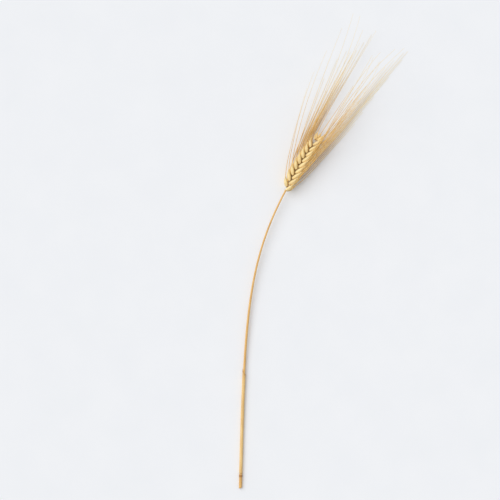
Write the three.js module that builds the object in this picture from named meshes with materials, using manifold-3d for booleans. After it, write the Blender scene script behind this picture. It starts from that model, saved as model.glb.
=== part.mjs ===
// A bearded wheat ear on its cut straw, lying on a table.
// Millimetres, +Z up. The table is z = 0, the straw runs towards +Y and the ear leans towards +X.
import * as THREE from "three";
import { mergeVertices } from "three/addons/utils/BufferGeometryUtils.js";
import Module from "manifold-3d";

const wasm = await Module();
wasm.setup();
const { degToRad, lerp, clamp, smoothstep } = THREE.MathUtils;
const UP = new THREE.Vector3(0, 0, 1);

// The stalk's axis: one smooth curve from the cut foot to the tip of the rachis
const FOOT_PLACE = new THREE.Vector2(-99.6, -280.8);
const RACHIS_TIP_FROM_FOOT = new THREE.Vector2(90.5, 416);
const FOOT_LEAN = degToRad(1.5);
const TIP_LEAN = degToRad(34);
const FOOT_HANDLE = 236;
const TIP_HANDLE = 150;
const STRAW_HEIGHT = 2.05;
const EAR_HEIGHT = 9.7;

// The straw and its leaf sheath, measured along the axis from the cut foot
const FOOT_RADIUS = 1.75;
const SHEATHED_RADIUS = 1.4;
const NECK_RADIUS = 1.05;
const COLLAR_RADIUS = 1.35;
const COLLAR_LENGTH = 2.7;
const JOINT_RADIUS = 2.05;
const JOINT_AT = 15;
const JOINT_LENGTH = 5;
const BORE_RADIUS = 1.15;
const BORE_DEPTH = 11;
const SHEATH_TOP = 144;
const SHEATH_GAP = 0.3;
const SHEATH_WALL = 0.3;
const STRAW_SIDES = 8;
const STRAW_STEP = 12;

// The ear and its rachis; the last spikelet crowns the rachis and the others stand in two columns
const SPIKELETS = 18;
const INTERNODE = 3.9;
const TERMINAL_RISE = 2.8;
const EAR_ROLL = degToRad(18);
const RACHIS_HALF_WIDTH = 0.72;
const RACHIS_HALF_THICKNESS = 0.48;
const RACHIS_WAIST = 0.75;
const RACHIS_TAPER = 0.55;
const RACHIS_ZIGZAG = 0.25;
const RACHIS_SIDES = 6;
const PIECE_GAP = 0.3;

// Spikelet sizes along the ear, as shares of a full-sized one
const LOWEST_SIZE = 0.82;
const HIGHEST_SIZE = 0.78;
const SIZE_STRAY = 0.03;
const FULL_SIZE_FROM = 3;
const SHRINKS_FROM = 0.5;

// A full-sized floret: a husk with outline shares of its half width, narrowing into an awn
const FLORET_LENGTH = 12.5;
const FLORET_HALF_WIDTH = 2.15;
const FLORET_HALF_THICKNESS = 2.05;
const FLORET_SIDES = 5;
const HUSK_FOOT = 0.48;
const HUSK_TIP = 0.2;
const HUSK_SWELL = 0.7;
const HUSK_FULLNESS = 0.74;
const HUSK_STATIONS = [0, 0.15, 0.4, 0.7, 1];
const THIRD_FLORET_RISE = 3;
const THIRD_FLORET_SIZE = 0.85;
const FIRST_WITH_THIRD_FLORET = 2;

// The awns: lengths, spread from the ear, and how each one bends of its own accord
const AWN_LENGTH = 150;
const AWN_SHORTEST = 0.55;
const AWN_LENGTH_CURVE = [0.12, 0.78];
const AWN_LENGTH_STRAY = 0.12;
const AWN_FOOT_RADIUS = 0.36;
const AWN_TIP_RADIUS = 0.12;
const AWN_STATIONS = [0.06, 0.2, 0.45, 0.75];
const AWN_OUT_SLOPES = [0.2, 0.05];
const AWN_SIDE_SLOPES = [0.18, 0.07];
const AWN_OUT_STRAY = 0.12;
const AWN_SIDE_STRAY = 0.06;
const THIRD_AWN_SPREAD = 0.8;
const THIRD_AWN_LENGTH = 0.6;
const BEND_START = 50;
const UPPER_AWN_BEND = 0.2;
const LOWER_AWN_BEND = 0.02;
const AWN_CLEARANCE = 0.23;
const AWN_REST_BLEND = 1.5;
const HEADING_STEP = 0.05;

// How a floret leaves the rachis, as offsets and slopes against the height along the ear
const BASE_OUT = 0.55;
const BASE_SIDE = 1.4;
const BASE_OUT_SLOPE = 0.84;
const BASE_SIDE_SLOPE = 0.46;
const EASE_LENGTH = 11;

// The rachilla inside a full-sized spikelet, and the glume around the flank of a side floret
const RACHILLA_OUTLINE = [[0, 0.4], [1, 0.4], [1.25, 3], [0.6, 5], [0, 5]];
const RACHILLA_SIDES = 5;
const GLUME_FROM = 0.06;
const GLUME_TO = 0.8;
const GLUME_WALL = 0.35;
const GLUME_ARC = [degToRad(-75), degToRad(80)];
const GLUME_TIP = 0.08;
const GLUME_TAPER = 2.5;
const GLUME_ACROSS = 3;
const GLUME_LENGTHWISE = 4;

// A repeatable natural variation from -1 to 1, for one trait of one spikelet.
// A trait that each floret has on its own is numbered from the place of the floret.
const SPIKELET_TURN = 12.9898;
const TRAIT_TURN = 78.233;
const SIZE_TRAIT = 1;
const BOW_OUT_TRAIT = 2;
const BOW_SIDE_TRAIT = 5;
const LEFT_AWN_TRAIT = 8;
const RIGHT_AWN_TRAIT = 9;
const THIRD_AWN_TRAIT = 10;
const AWN_OUT_TRAIT = 11;
const AWN_SIDE_TRAIT = 12;
const vary = (k, trait) => Math.sin(SPIKELET_TURN * k + TRAIT_TURN * trait);

// The axis and its cross directions at a distance from the foot
const heading = (lean) => new THREE.Vector3(Math.sin(lean), Math.cos(lean), 0);
const foot = new THREE.Vector3(FOOT_PLACE.x, FOOT_PLACE.y, STRAW_HEIGHT);
const rachisTip = new THREE.Vector3(
  FOOT_PLACE.x + RACHIS_TIP_FROM_FOOT.x,
  FOOT_PLACE.y + RACHIS_TIP_FROM_FOOT.y,
  EAR_HEIGHT,
);
const axis = new THREE.CubicBezierCurve3(
  foot,
  foot.clone().addScaledVector(heading(FOOT_LEAN), FOOT_HANDLE),
  rachisTip.clone().addScaledVector(heading(TIP_LEAN), -TIP_HANDLE),
  rachisTip,
);
axis.arcLengthDivisions = 1000;
const AXIS_LENGTH = axis.getLength();
const RACHIS_LENGTH = (SPIKELETS - 1) * INTERNODE + TERMINAL_RISE;
const STRAW_LENGTH = AXIS_LENGTH - RACHIS_LENGTH;

function stalkFrame(distance) {
  const share = clamp(distance / AXIS_LENGTH, 0, 1);
  const along = axis.getTangentAt(share);
  const side = new THREE.Vector3().crossVectors(along, UP).normalize();
  const face = new THREE.Vector3().crossVectors(side, along);
  return { origin: axis.getPointAt(share), along, side, face };
}

// The ear's own cross directions: out is towards a spikelet column, over is across the columns
function earFrame(distance) {
  const at = stalkFrame(distance);
  const out = at.side.clone().applyAxisAngle(at.along, -EAR_ROLL);
  const over = new THREE.Vector3().crossVectors(out, at.along);
  return { ...at, out, over };
}

// A straight turned piece along +Y
const turned = (outline, sides) =>
  new THREE.LatheGeometry(outline.map(([radius, height]) => new THREE.Vector2(radius, height)), sides);

// Carries a straight piece onto a path, where its y is the distance along the path
function carry(geometry, frameAt) {
  const places = geometry.getAttribute("position");
  const corner = new THREE.Vector3();
  for (let i = 0; i < places.count; i += 1) {
    corner.fromBufferAttribute(places, i);
    const at = frameAt(corner.y);
    const moved = at.origin.clone().addScaledVector(at.side, corner.x).addScaledVector(at.face, corner.z);
    places.setXYZ(i, moved.x, moved.y, moved.z);
  }
  return geometry;
}

// A closed geometry as a solid to join with others, and the joined solid as a geometry
function solidOf(geometry) {
  const bare = new THREE.BufferGeometry();
  bare.setAttribute("position", geometry.getAttribute("position"));
  bare.setIndex(geometry.index);
  const merged = mergeVertices(bare, 1e-3);
  const mesh = new wasm.Mesh({
    numProp: 3,
    vertProperties: merged.getAttribute("position").array,
    triVerts: new Uint32Array(merged.index.array),
  });
  return new wasm.Manifold(mesh);
}

function geometryOf(solid) {
  const mesh = solid.getMesh();
  const geometry = new THREE.BufferGeometry();
  geometry.setAttribute("position", new THREE.BufferAttribute(mesh.vertProperties, 3));
  geometry.setIndex(new THREE.BufferAttribute(mesh.triVerts, 1));
  geometry.computeVertexNormals();
  return geometry;
}

// Straw and chaff finishes
const finish = (colour, roughness) =>
  new THREE.MeshStandardMaterial({ color: colour, roughness, metalness: 0 });
const STRAW_FINISH = finish(0xe0aa5a, 0.45);
const SHEATH_FINISH = finish(0xe6bd78, 0.55);
const RACHIS_FINISH = finish(0xd9b06a, 0.6);
const GLUME_FINISH = finish(0xf0d596, 0.55);
const FLORET_FINISH = finish(0xe4b768, 0.55);

const stalk = new THREE.Group();

function add(name, geometry, material) {
  const mesh = new THREE.Mesh(geometry, material);
  mesh.name = name;
  stalk.add(mesh);
}

// The straw: hollow at the cut foot, swollen at its joint, tapering to the neck under the ear
function straw() {
  const sheathFoot = JOINT_AT + JOINT_LENGTH / 2;
  const neck = STRAW_LENGTH - COLLAR_LENGTH;
  const end = STRAW_LENGTH - PIECE_GAP;
  const outline = [
    [0, BORE_DEPTH],
    [BORE_RADIUS, BORE_DEPTH],
    [BORE_RADIUS, 0],
    [FOOT_RADIUS, 0],
    [FOOT_RADIUS, JOINT_AT - JOINT_LENGTH / 2],
    [JOINT_RADIUS, JOINT_AT - JOINT_LENGTH / 4],
    [JOINT_RADIUS, JOINT_AT + JOINT_LENGTH / 4],
    [SHEATHED_RADIUS, sheathFoot],
  ];
  const steps = Math.round((neck - sheathFoot) / STRAW_STEP);
  for (let i = 1; i <= steps; i += 1) {
    const distance = lerp(sheathFoot, neck, i / steps);
    const bared = clamp((distance - SHEATH_TOP) / (neck - SHEATH_TOP), 0, 1);
    outline.push([lerp(SHEATHED_RADIUS, NECK_RADIUS, bared), distance]);
  }
  outline.push([COLLAR_RADIUS, end], [0, end]);
  add("straw", carry(turned(outline, STRAW_SIDES), stalkFrame), STRAW_FINISH);
}

// The leaf sheath: a thin tube around the straw, from just above the joint to the torn leaf collar
function leafSheath() {
  const inner = SHEATHED_RADIUS + SHEATH_GAP;
  const outer = inner + SHEATH_WALL;
  const bottom = JOINT_AT + JOINT_LENGTH / 2 + PIECE_GAP;
  const steps = Math.round((SHEATH_TOP - bottom) / STRAW_STEP);
  const heights = Array.from({ length: steps + 1 }, (_, i) => lerp(bottom, SHEATH_TOP, i / steps));
  const upOutside = heights.map((height) => [outer, height]);
  const downInside = heights.toReversed().map((height) => [inner, height]);
  const outline = [...upOutside, ...downInside, [outer, bottom]];
  add("leaf_sheath", carry(turned(outline, STRAW_SIDES), stalkFrame), SHEATH_FINISH);
}

const isTerminal = (k) => k === SPIKELETS - 1;
const columnOf = (k) => (k % 2 === 0 ? 1 : -1);
const spikeletAt = (k) => STRAW_LENGTH + k * INTERNODE + (isTerminal(k) ? TERMINAL_RISE : 0);

// The rachis: a flat zigzag axis, narrow above each spikelet and broad below the next
function rachis() {
  const outline = [[0, STRAW_LENGTH]];
  for (let k = 0; k < SPIKELETS - 1; k += 1) {
    const width = lerp(1, RACHIS_TAPER, k / (SPIKELETS - 1));
    outline.push([RACHIS_WAIST * width, spikeletAt(k)], [width, spikeletAt(k) + INTERNODE / 2]);
  }
  outline.push([RACHIS_WAIST * RACHIS_TAPER, AXIS_LENGTH], [0, AXIS_LENGTH]);
  const zigzag = (distance) => {
    const at = earFrame(distance);
    const swing = Math.cos((Math.PI * (distance - STRAW_LENGTH)) / INTERNODE);
    return {
      origin: at.origin.addScaledVector(at.out, -RACHIS_ZIGZAG * swing),
      side: at.out.multiplyScalar(RACHIS_HALF_THICKNESS),
      face: at.over.multiplyScalar(RACHIS_HALF_WIDTH),
    };
  };
  add("rachis", carry(turned(outline, RACHIS_SIDES), zigzag), RACHIS_FINISH);
}

// A spikelet's size and the fan of its awns, from the small lowest one to the tip of the ear
function spikeletTraits(k) {
  const share = k / (SPIKELETS - 1);
  const swelling = lerp(LOWEST_SIZE, 1, Math.min(1, k / FULL_SIZE_FROM));
  const shrinking = lerp(1, HIGHEST_SIZE, smoothstep(share, SHRINKS_FROM, 1));
  const reach = Math.sin(Math.PI * lerp(...AWN_LENGTH_CURVE, share));
  return {
    size: swelling * shrinking * (1 + SIZE_STRAY * vary(k, SIZE_TRAIT)),
    awnOut: lerp(...AWN_OUT_SLOPES, share),
    awnSide: lerp(...AWN_SIDE_SLOPES, share),
    awnLength: AWN_LENGTH * lerp(AWN_SHORTEST, 1, reach),
  };
}

// A floret's path: it leaves the rachis outwards and eases into the line of its awn, over the table.
// Upper awns, which stand clear of the table, stray from the even fan and bend more.
// Place is -1 or 1 for the two side florets and 0 for the middle of the spikelet.
function floretPath(k, place, traits) {
  const terminal = isTerminal(k);
  const node = earFrame(spikeletAt(k));
  const out = terminal ? node.over : node.out.multiplyScalar(columnOf(k));
  const over = new THREE.Vector3().crossVectors(out, node.along);
  const upper = place * columnOf(k) > 0;
  const bend = upper ? UPPER_AWN_BEND : LOWER_AWN_BEND;
  const strays = upper ? 1 : 0;
  const spread = place === 0 ? THIRD_AWN_SPREAD : 1;
  const outwards = {
    start: terminal ? 0 : BASE_OUT,
    slope: terminal ? 0 : BASE_OUT_SLOPE,
    end: terminal ? 0 : traits.awnOut * spread + strays * AWN_OUT_STRAY * vary(k, AWN_OUT_TRAIT),
    bow: bend * vary(k, BOW_OUT_TRAIT + place),
  };
  const sideways = {
    start: BASE_SIDE * traits.size,
    slope: BASE_SIDE_SLOPE,
    end: traits.awnSide + strays * AWN_SIDE_STRAY * vary(k, AWN_SIDE_TRAIT),
    bow: bend * vary(k, BOW_SIDE_TRAIT + place),
  };
  const offset = ({ start, slope, end, bow }, height) => {
    const eased = EASE_LENGTH * (1 - Math.exp(-height / EASE_LENGTH));
    const bowed = Math.max(0, height - BEND_START) ** 2 / AWN_LENGTH;
    return start + end * height + (slope - end) * eased + bow * bowed;
  };
  const placeAt = (height) => {
    const point = node.origin
      .clone()
      .addScaledVector(node.along, height)
      .addScaledVector(out, offset(outwards, height))
      .addScaledVector(over, place * offset(sideways, height));
    const depth = point.z - AWN_CLEARANCE;
    point.z = AWN_CLEARANCE + (depth + Math.hypot(depth, AWN_REST_BLEND)) / 2;
    return point;
  };
  return (height) => {
    const origin = placeAt(height);
    const along = placeAt(height + HEADING_STEP).sub(origin).normalize();
    const side = new THREE.Vector3().crossVectors(along, out).normalize();
    const face = new THREE.Vector3().crossVectors(side, along);
    return { origin, along, side, face };
  };
}

// The husk's outline share of its half width, from its foot to its tip
const huskShare = (share) =>
  lerp(HUSK_FOOT, HUSK_TIP, share) + HUSK_SWELL * Math.sin(Math.PI * share ** HUSK_FULLNESS);

// A floret: a plump closed husk that narrows into its awn
function floret(path, size, awnLength) {
  const length = FLORET_LENGTH * size;
  const halfWidth = FLORET_HALF_WIDTH * size;
  const halfThickness = FLORET_HALF_THICKNESS * size;
  const awnShare = (share) => lerp(AWN_FOOT_RADIUS, AWN_TIP_RADIUS, share) / halfWidth;
  const outline = [
    [0, 0],
    ...HUSK_STATIONS.map((share) => [huskShare(share), share * length]),
    ...AWN_STATIONS.map((share) => [awnShare(share), length + share * awnLength]),
    [0, length + awnLength],
  ];
  const scaled = (height) => {
    const at = path(height);
    at.side.multiplyScalar(halfWidth);
    at.face.multiplyScalar(halfThickness);
    return at;
  };
  return solidOf(carry(turned(outline, FLORET_SIDES), scaled));
}

// The short inner axis that carries the florets of one spikelet
function rachilla(path, size) {
  const outline = RACHILLA_OUTLINE.map(([radius, height]) => [radius * size, height * size]);
  return solidOf(carry(turned(outline, RACHILLA_SIDES), path));
}

// A glume: a boat-shaped scale, a flat sheet wrapped around the outer flank of a side floret
function glume(path, size, place) {
  const sheet = new THREE.BoxGeometry(1, 1, 1, GLUME_ACROSS, GLUME_LENGTHWISE, 1);
  const places = sheet.getAttribute("position");
  for (let i = 0; i < places.count; i += 1) {
    const share = places.getY(i) + 0.5;
    const away = PIECE_GAP + GLUME_WALL * (places.getZ(i) + 0.5);
    const swing = place * places.getX(i) * lerp(1, GLUME_TIP, share ** GLUME_TAPER);
    const angle = lerp(...GLUME_ARC, 0.5 + swing);
    const heightShare = lerp(GLUME_FROM, GLUME_TO, share);
    const at = path(heightShare * FLORET_LENGTH * size);
    const width = FLORET_HALF_WIDTH * size * huskShare(heightShare) + away;
    const thickness = FLORET_HALF_THICKNESS * size * huskShare(heightShare) + away;
    const point = at.origin
      .addScaledVector(at.side, -place * width * Math.cos(angle))
      .addScaledVector(at.face, thickness * Math.sin(angle));
    places.setXYZ(i, point.x, point.y, point.z);
  }
  return sheet;
}

// A spikelet: two or three florets joined on their rachilla, between two glumes
function spikelet(k) {
  const number = String(k + 1).padStart(2, "0");
  const traits = spikeletTraits(k);
  const left = floretPath(k, -1, traits);
  const right = floretPath(k, 1, traits);
  const middle = floretPath(k, 0, traits);
  const awnLength = (trait) => traits.awnLength * (1 + AWN_LENGTH_STRAY * vary(k, trait));
  let florets = rachilla(middle, traits.size)
    .add(floret(left, traits.size, awnLength(LEFT_AWN_TRAIT)))
    .add(floret(right, traits.size, awnLength(RIGHT_AWN_TRAIT)));
  if (k >= FIRST_WITH_THIRD_FLORET) {
    const raised = (height) => middle(height + THIRD_FLORET_RISE);
    const size = THIRD_FLORET_SIZE * traits.size;
    florets = florets.add(floret(raised, size, THIRD_AWN_LENGTH * awnLength(THIRD_AWN_TRAIT)));
  }
  add(`florets_${number}`, geometryOf(florets), FLORET_FINISH);
  add(`left_glume_${number}`, glume(left, traits.size, -1), GLUME_FINISH);
  add(`right_glume_${number}`, glume(right, traits.size, 1), GLUME_FINISH);
}

straw();
leafSheath();
rachis();
for (let k = 0; k < SPIKELETS; k += 1) spikelet(k);

export default stalk;
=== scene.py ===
# A bearded wheat ear on its cut straw, lying on a pale table.
# Metres, +Z up. The straw runs towards +Y and the ear leans towards +X.
# Each piece is shaped straight, along +Y, and a geometry tree carries it onto the line it grew along.
import math

import bmesh
import bpy
import numpy as np
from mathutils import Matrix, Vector


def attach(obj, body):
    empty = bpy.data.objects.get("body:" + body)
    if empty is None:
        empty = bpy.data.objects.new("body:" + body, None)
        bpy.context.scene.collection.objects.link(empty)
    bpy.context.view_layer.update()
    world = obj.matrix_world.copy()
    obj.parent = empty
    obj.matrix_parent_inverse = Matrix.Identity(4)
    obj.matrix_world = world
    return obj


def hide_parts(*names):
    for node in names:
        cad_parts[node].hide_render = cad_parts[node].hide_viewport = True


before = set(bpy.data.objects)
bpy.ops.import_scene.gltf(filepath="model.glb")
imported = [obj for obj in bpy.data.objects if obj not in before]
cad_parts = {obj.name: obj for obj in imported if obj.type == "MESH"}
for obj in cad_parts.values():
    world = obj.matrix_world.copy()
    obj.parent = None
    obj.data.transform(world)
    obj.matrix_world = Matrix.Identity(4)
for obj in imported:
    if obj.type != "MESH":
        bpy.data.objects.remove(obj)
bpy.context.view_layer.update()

# The straw
# A hollow grass stem dried to a satin gold, with fine ribs and a swollen leaf joint near its cut foot.
# It grew in one piece up to the small collar under the ear, so it is one skin with a bore in the cut end.
MM = 0.001
UP = np.array([0.0, 0.0, 1.0])
FOOT = np.array([-99.6, -280.8, 2.05]) * MM
RACHIS_TIP = FOOT + np.array([90.5, 416.0, 7.65]) * MM
FOOT_LEAN = math.radians(1.5)
TIP_LEAN = math.radians(34)
FOOT_HANDLE = 236 * MM
TIP_HANDLE = 150 * MM
LINE_POINTS = 800
RACHIS_LENGTH = 69.1 * MM
PIECE_GAP = 0.3 * MM
FOOT_RADIUS = 1.75 * MM
JOINT_RADIUS = 2.05 * MM
JOINT_AT = 15 * MM
JOINT_LENGTH = 5 * MM
SHEATHED_RADIUS = 1.4 * MM
SHEATH_TOP = 144 * MM
NECK_RADIUS = 1.05 * MM
COLLAR_RADIUS = 1.35 * MM
COLLAR_LENGTH = 2.7 * MM
BORE_RADIUS = 1.15 * MM
BORE_DEPTH = 11 * MM
CUT_SLANT = 0.5 * MM
STRAW_RIBS = 13
STRAW_RIB_HEIGHT = 0.02
POINTS_PER_RIB = 6
STRAW_STEP = 1.5 * MM
STRAW_FINE_STEP = STRAW_STEP / 4
CROWN_RINGS = 8
BORE_RINGS = 12
STRAW_PALE = (245, 203, 130)
STRAW_DEEP = (220, 162, 82)
STRAW_STAIN = (150, 96, 44)
STRAW_FIBRE = (0.16 * MM, 14 * MM)
STRAW_BLOTCH = 2.5 * MM
STRAW_RELIEF = 0.03 * MM
STRAW_GLOSS = (0.32, 0.5)
JOINT_STAIN_STRENGTH = 0.8
CUT_STAIN_STRENGTH = 0.5
CUT_STAIN_REACH = 2 * MM


def unit(vectors):
    return vectors / np.linalg.norm(vectors, axis=-1, keepdims=True)


def heading(lean):
    return np.array([math.sin(lean), math.cos(lean), 0.0])


def stalk_points():
    """Points of the smooth line through the whole stalk, from the cut foot to the tip of the ear's axis."""
    share = np.linspace(0, 1, LINE_POINTS)[:, None]
    rest = 1 - share
    lower = FOOT + FOOT_HANDLE * heading(FOOT_LEAN)
    upper = RACHIS_TIP - TIP_HANDLE * heading(TIP_LEAN)
    ends = rest**3 * FOOT + share**3 * RACHIS_TIP
    return ends + 3 * rest**2 * share * lower + 3 * rest * share**2 * upper


def reach_along(points):
    """The distance along a line from its first point to each of its points."""
    steps = np.linalg.norm(np.diff(points, axis=0), axis=1)
    return np.concatenate([[0.0], np.cumsum(steps)])


def line_object(name, points):
    """A curve object through points, for a piece to be carried onto."""
    curve = bpy.data.curves.new(name, "CURVE")
    curve.dimensions = "3D"
    spline = curve.splines.new("POLY")
    spline.points.add(len(points) - 1)
    spline.points.foreach_set("co", np.column_stack([points, np.ones(len(points))]).ravel())
    line = bpy.data.objects.new(name, curve)
    bpy.context.collection.objects.link(line)
    return line


def eased(knots, places):
    """Values that ease from knot to knot, where a knot is a place and its value."""
    at, value = np.array(knots).T
    span = np.clip(np.searchsorted(at, places) - 1, 0, len(at) - 2)
    share = np.clip((places - at[span]) / (at[span + 1] - at[span]), 0, 1)
    share = share * share * (3 - 2 * share)
    return value[span] + share * (value[span + 1] - value[span])


def angles_around(sides):
    return np.linspace(0, 2 * math.pi, sides, endpoint=False)


def ring_points(across, reach, upward):
    """Rings of points, row by row, from how far each point is across, along and up the straight piece."""
    return np.stack(np.broadcast_arrays(across, reach, upward), axis=-1)


def skin_mesh(name, rings, sheet=False):
    """A closed mesh through rings of points along +Y, with its ends drawn to a point.
    A sheet's ring runs out along one face and back along the other, and its ends join the two faces."""
    count, sides = rings.shape[:2]
    here = np.arange(sides)
    ahead = np.roll(here, -1)
    faces = []
    for row in range(count - 1):
        low, high = row * sides, (row + 1) * sides
        faces += np.column_stack([low + here, high + here, high + ahead, low + ahead]).tolist()
    points = rings.reshape(-1, 3)
    last = (count - 1) * sides
    if sheet:
        out = np.arange(sides // 2 - 1)
        back = sides - 1 - out
        faces += np.column_stack([out, out + 1, back - 1, back]).tolist()
        faces += (last + np.column_stack([back, back - 1, out + 1, out])).tolist()
    else:
        foot, tip = len(points), len(points) + 1
        points = np.concatenate([points, [rings[0].mean(axis=0), rings[-1].mean(axis=0)]])
        faces += [(foot, a, b) for a, b in zip(here, ahead)]
        faces += [(tip, last + b, last + a) for a, b in zip(here, ahead)]
    mesh = bpy.data.meshes.new(name)
    mesh.from_pydata(points, [], faces)
    return mesh


def place(tree, kind, inputs=(), **settings):
    """A new node in a tree. Its inputs, by name or number, are other nodes' sockets or plain values."""
    node = tree.nodes.new(kind)
    for setting, value in settings.items():
        setattr(node, setting, value)
    for key, value in dict(inputs).items():
        if isinstance(value, bpy.types.NodeSocket):
            tree.links.new(value, node.inputs[key])
        else:
            node.inputs[key].default_value = value
    return node


def vector_math(tree, operation, first, second):
    inputs = {0: first, 3 if operation == "SCALE" else 1: second}
    return place(tree, "ShaderNodeVectorMath", inputs, operation=operation).outputs[0]


def new_tree(name, kind, inputs, outputs):
    """An empty node tree with named sockets, and the sockets at its two ends."""
    tree = bpy.data.node_groups.new(name, kind)
    for label, socket in inputs.items():
        tree.interface.new_socket(label, in_out="INPUT", socket_type="NodeSocket" + socket)
    for label, socket in outputs.items():
        tree.interface.new_socket(label, in_out="OUTPUT", socket_type="NodeSocket" + socket)
    return tree, tree.nodes.new("NodeGroupInput").outputs, tree.nodes.new("NodeGroupOutput").inputs


CARRY_INPUTS = {"Geometry": "Geometry", "Line": "Object", "Upwards": "Vector", "Number": "Float"}
NUMBER_SPACING = 37 * MM


def carry_group():
    """Bends a straight piece onto a line: y runs along the line, x across it and z towards Upwards.
    Where each point was on the straight piece is kept as its grain, set apart by the piece's number."""
    outputs = {"Geometry": "Geometry"}
    tree, given, made = new_tree("carry_onto_line", "GeometryNodeTree", CARRY_INPUTS, outputs)
    line = place(tree, "GeometryNodeObjectInfo", {"Object": given["Line"]}).outputs["Geometry"]
    straight = place(tree, "GeometryNodeInputPosition").outputs[0]
    apart = place(tree, "ShaderNodeMath", {0: given["Number"], 1: NUMBER_SPACING}, operation="MULTIPLY")
    shift = place(tree, "ShaderNodeCombineXYZ", {"X": apart.outputs[0]}).outputs[0]
    kept = place(
        tree,
        "GeometryNodeStoreNamedAttribute",
        {"Geometry": given["Geometry"], "Name": "grain"},
        data_type="FLOAT_VECTOR",
    )
    tree.links.new(vector_math(tree, "ADD", straight, shift), kept.inputs["Value"])
    parts = place(tree, "ShaderNodeSeparateXYZ", {0: straight}).outputs
    spot = place(tree, "GeometryNodeSampleCurve", {"Curves": line}, mode="LENGTH")
    tree.links.new(parts["Y"], spot.inputs["Length"])
    tangent = spot.outputs["Tangent"]
    side = vector_math(tree, "CROSS_PRODUCT", tangent, given["Upwards"])
    side = place(tree, "ShaderNodeVectorMath", {0: side}, operation="NORMALIZE").outputs[0]
    face = vector_math(tree, "CROSS_PRODUCT", side, tangent)
    across = vector_math(tree, "SCALE", side, parts["X"])
    upward = vector_math(tree, "SCALE", face, parts["Z"])
    moved = vector_math(tree, "ADD", spot.outputs["Position"], vector_math(tree, "ADD", across, upward))
    bent = place(tree, "GeometryNodeSetPosition", {"Geometry": kept.outputs[0], "Position": moved})
    smooth = place(tree, "GeometryNodeSetShadeSmooth", {"Geometry": bent.outputs[0]})
    tree.links.new(smooth.outputs[0], made["Geometry"])
    return tree


def carry(tree, geometry, given):
    """Places the carrying group in a tree that has its inputs, and gives the carried geometry."""
    inputs = {"Geometry": geometry, **{label: given[label] for label in ("Line", "Upwards", "Number")}}
    return place(tree, "GeometryNodeGroup", inputs, node_tree=CARRY).outputs[0]


def plain_piece_tree():
    """A straight skin, carried onto its line in one finish."""
    inputs = {**CARRY_INPUTS, "Skin": "Material"}
    tree, given, made = new_tree("plain_piece", "GeometryNodeTree", inputs, {"Geometry": "Geometry"})
    whole = place(tree, "GeometryNodeRealizeInstances", {0: carry(tree, given["Geometry"], given)})
    finished = place(tree, "GeometryNodeSetMaterial", {0: whole.outputs[0], "Material": given["Skin"]})
    tree.links.new(finished.outputs[0], made["Geometry"])
    return tree


def grown(mesh, tree, **values):
    """The plain mesh that a geometry tree makes of a straight mesh, with the tree's inputs set by name."""
    seedling = bpy.data.objects.new(mesh.name, mesh)
    bpy.context.collection.objects.link(seedling)
    growth = seedling.modifiers.new(tree.name, "NODES")
    growth.node_group = tree
    for item in tree.interface.items_tree:
        label = item.name.replace(" ", "_").lower()
        if item.in_out == "INPUT" and label in values:
            growth[item.identifier] = values[label]
    settled = bpy.context.evaluated_depsgraph_get()
    result = bpy.data.meshes.new_from_object(
        seedling.evaluated_get(settled), preserve_all_data_layers=True, depsgraph=settled
    )
    seedling.modifiers.remove(growth)
    bpy.data.objects.remove(seedling)
    return result


def finished_piece(name, mesh, node):
    """Shows a finished mesh in place of its CAD node."""
    piece = bpy.data.objects.new(name, mesh)
    bpy.context.collection.objects.link(piece)
    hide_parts(node)
    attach(piece, "root")


SCREEN_GAMMA = 2.2
FIBRE_RANGE = (0.34, 0.66)
FIBRE_DETAIL = 3.0
BLOTCH_RANGE = (0.42, 0.68)
BLOTCH_STRETCH = 4.0
BLOTCH_STRENGTH = 0.22
SPECK_RANGE = (0.66, 0.76)
SPECK_STRETCH = 1.6
SPECK_STRENGTH = 0.55
SPECK_SHARE = 3.0
WEATHER_DETAIL = 2.0
BUMP_STRENGTH = 0.6


def linear(colour):
    """A colour as the renderer counts it, from its red, green and blue out of 255."""
    return (*((channel / 255) ** SCREEN_GAMMA for channel in colour), 1.0)


def patches(tree, grain, width, length, detail, limits):
    """A noise of patches so wide and so long, as a mask that rises between two limits."""
    size = place(tree, "ShaderNodeCombineXYZ", {0: width, 1: length, 2: width})
    spread = vector_math(tree, "DIVIDE", grain, size.outputs[0])
    noise = place(tree, "ShaderNodeTexNoise", {"Vector": spread, "Scale": 1.0, "Detail": detail})
    low, high = limits
    return place(tree, "ShaderNodeMapRange", {0: noise.outputs[0], 1: low, 2: high}).outputs[0]


def fibre_group():
    """Long fibres side by side, as a value that is low in the gaps and high on the fibres."""
    inputs = {"Grain": "Vector", "Width": "Float", "Length": "Float"}
    tree, given, made = new_tree("fibres", "ShaderNodeTree", inputs, {"Fibres": "Float"})
    sizes = given["Width"], given["Length"]
    tree.links.new(patches(tree, given["Grain"], *sizes, FIBRE_DETAIL, FIBRE_RANGE), made["Fibres"])
    return tree


def weather_group():
    """What sun and damp leave on a ripe plant: soft long blotches and a few small dark specks."""
    inputs = {"Grain": "Vector", "Blotch": "Float", "Speck": "Float"}
    outputs = {"Blotches": "Float", "Specks": "Float"}
    tree, given, made = new_tree("weathering", "ShaderNodeTree", inputs, outputs)
    marks = (
        ("Blotch", "Blotches", BLOTCH_STRETCH, BLOTCH_RANGE),
        ("Speck", "Specks", SPECK_STRETCH, SPECK_RANGE),
    )
    for one, many, stretch, limits in marks:
        width = given[one]
        length = place(tree, "ShaderNodeMath", {0: width, 1: stretch}, operation="MULTIPLY").outputs[0]
        mask = patches(tree, given["Grain"], width, length, WEATHER_DETAIL, limits)
        tree.links.new(mask, made[many])
    return tree


FIBRES = fibre_group()
WEATHER = weather_group()


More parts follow.
